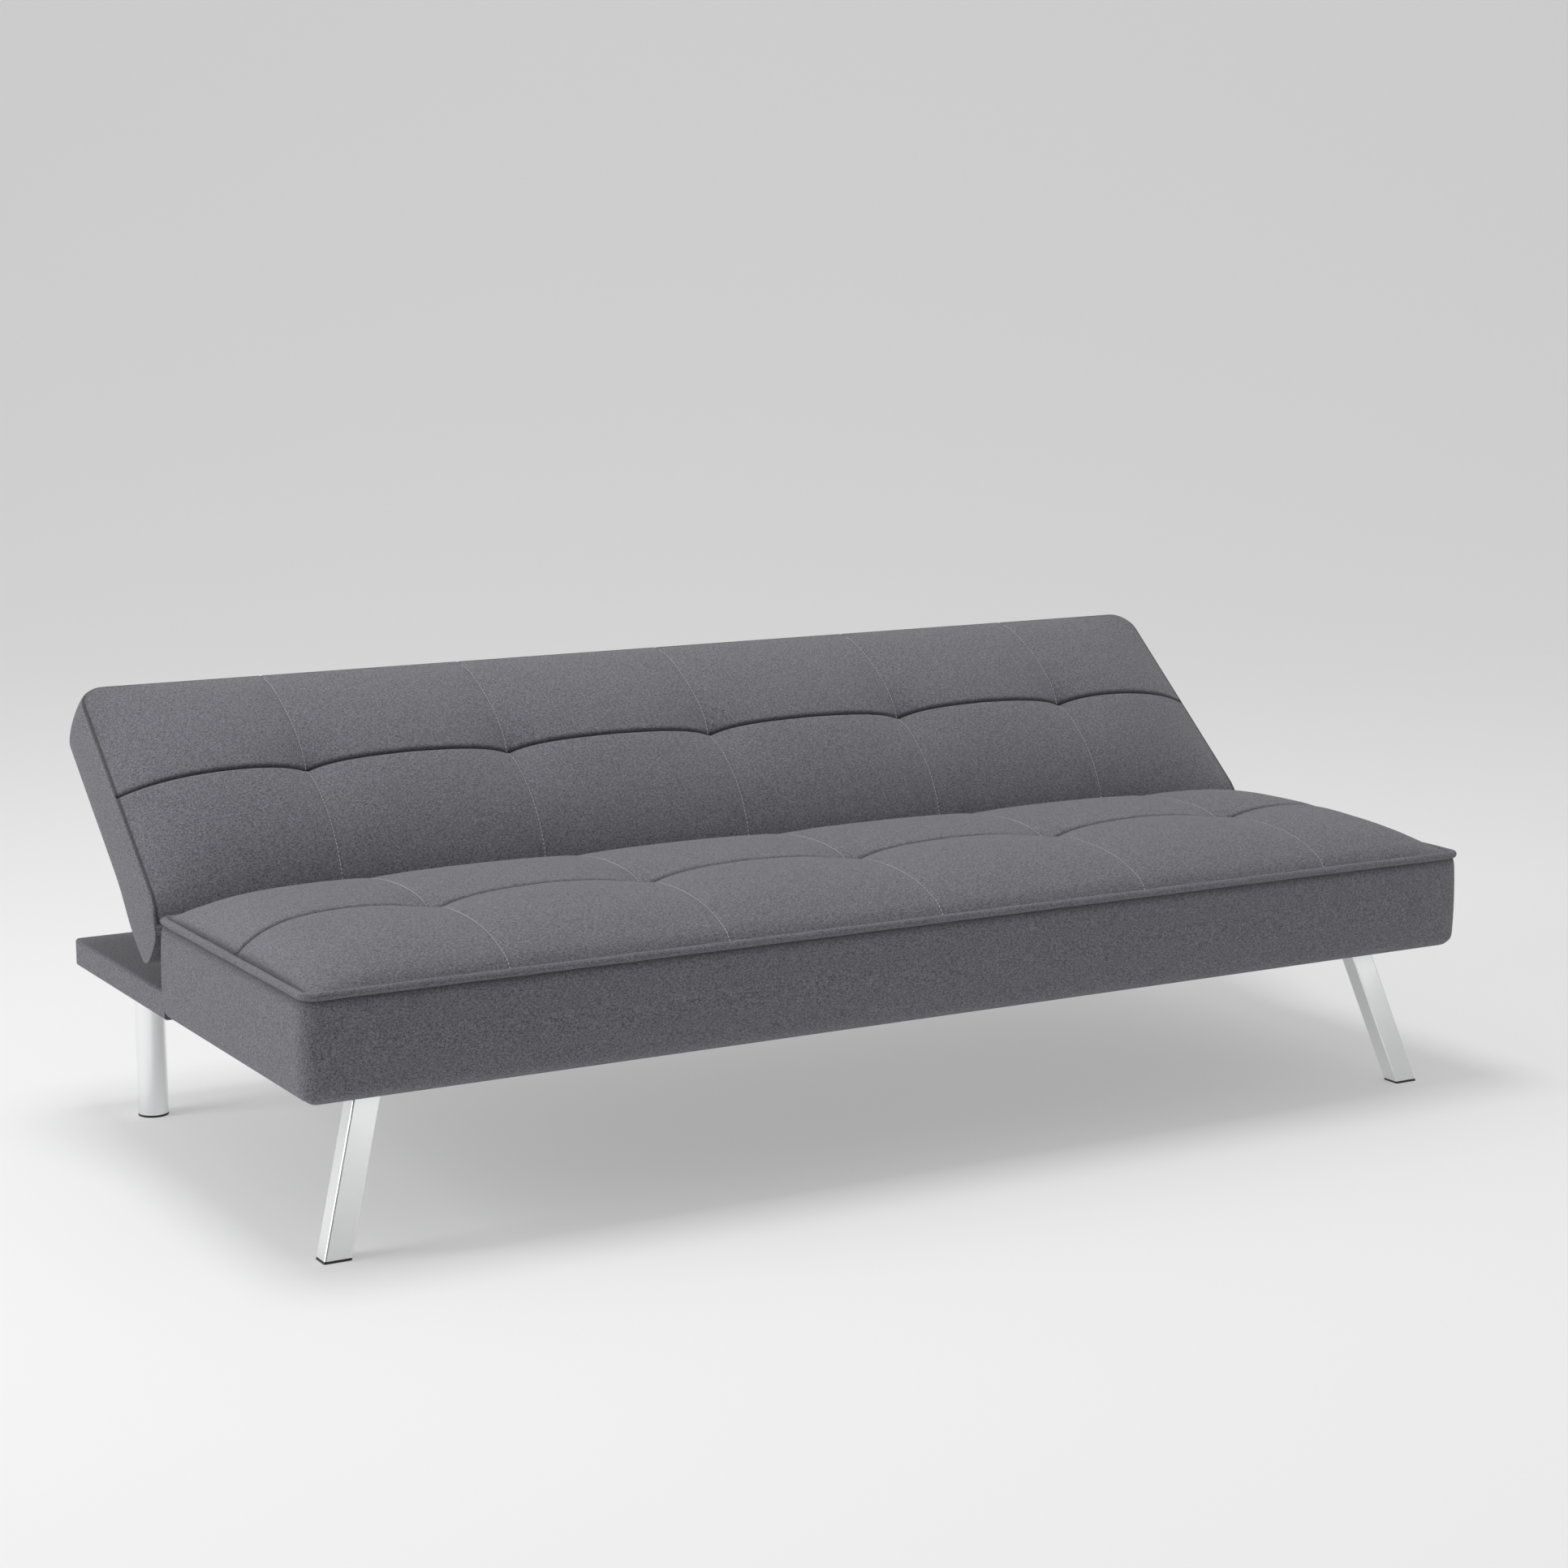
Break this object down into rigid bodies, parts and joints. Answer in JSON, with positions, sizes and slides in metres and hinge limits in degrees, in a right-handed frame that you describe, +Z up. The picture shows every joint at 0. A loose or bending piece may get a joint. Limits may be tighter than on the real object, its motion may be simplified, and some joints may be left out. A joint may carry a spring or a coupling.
{
  "type": "futon sofa bed",
  "caption": "Armless futon sofa bed with a tufted seat and a click-down reclining back on a rear platform, leaning front legs and round rear legs.",
  "frame": {"origin": "centre of the footprint at floor level, under the feet", "axes": "+X along the sofa to the sitter's left, -Y is the front of the seat, +Z up"},
  "size_m": [1.68, 0.84, 0.5748],
  "materials": {
    "grey_fabric": "matte",
    "piping_fabric": "matte",
    "foam": "matte",
    "dust_sheet": "matte",
    "timber": "matte",
    "hardboard": "matte",
    "satin_steel": "satin",
    "plate_steel": "satin",
    "hinge_steel": "satin",
    "zinc_fasteners": "satin",
    "black_plastic": "matte"
  },
  "bodies": {
    "base": {"base_cross_braces": "timber", "base_front_rail": "timber", "base_middle_rail": "timber", "base_rear_rail": "timber", "base_side_plank_left": "timber", "base_side_plank_right": "timber", "front_leg_cap_left": "black_plastic", "front_leg_cap_right": "black_plastic", "front_leg_left": "satin_steel", "front_leg_plate_left": "plate_steel", "front_leg_plate_right": "plate_steel", "front_leg_right": "satin_steel", "front_leg_screws": "zinc_fasteners", "hinge_base_arm_left": "hinge_steel", "hinge_base_arm_right": "hinge_steel", "hinge_base_bolts": "zinc_fasteners", "hinge_pin_left": "hinge_steel", "hinge_pin_right": "hinge_steel", "platform_cover": "grey_fabric", "platform_panel": "hardboard", "rear_leg_cap_left": "black_plastic", "rear_leg_cap_right": "black_plastic", "rear_leg_flange_left": "plate_steel", "rear_leg_flange_right": "plate_steel", "rear_leg_left": "satin_steel", "rear_leg_right": "satin_steel", "rear_leg_screws": "zinc_fasteners", "seat_braces": "timber", "seat_cover": "grey_fabric", "seat_dust_cover": "dust_sheet", "seat_end_rail_left": "timber", "seat_end_rail_right": "timber", "seat_foam": "foam", "seat_front_rail": "timber", "seat_piping": "piping_fabric", "seat_rear_rail": "timber", "seat_slats": "timber"},
    "back": {"back_bottom_rail": "timber", "back_cover": "grey_fabric", "back_end_rail_left": "timber", "back_end_rail_right": "timber", "back_foam": "foam", "back_panel": "hardboard", "back_slats": "timber", "back_top_rail": "timber", "back_uprights": "timber", "hinge_back_arm_left": "hinge_steel", "hinge_back_arm_right": "hinge_steel", "hinge_back_bolts": "zinc_fasteners", "pawl_pin_left": "hinge_steel", "pawl_pin_right": "hinge_steel", "pawl_spring_left": "hinge_steel", "pawl_spring_right": "hinge_steel"},
    "pawl_left": {"ratchet_pawl_left": "hinge_steel"},
    "pawl_right": {"ratchet_pawl_right": "hinge_steel"}
  },
  "joints": [
    {"name": "back_fold", "type": "hinge", "parent": "base", "child": "back", "pos_m": [0, 0.074, 0.3], "axis": [1, 0, 0], "range_deg": [-39.7, 30.3]},
    {"name": "pawl_left_lift", "type": "hinge", "parent": "back", "child": "pawl_left", "pos_m": [-0.6, 0.10809, 0.3153], "axis": [1, 0, 0], "range_deg": [0, 12], "stiffness_Nm_per_rad": 0.05, "springref_deg": -11.46},
    {"name": "pawl_right_lift", "type": "hinge", "parent": "back", "child": "pawl_right", "pos_m": [0.6, 0.10809, 0.3153], "axis": [1, 0, 0], "range_deg": [0, 12], "stiffness_Nm_per_rad": 0.05, "springref_deg": -11.46}
  ]
}
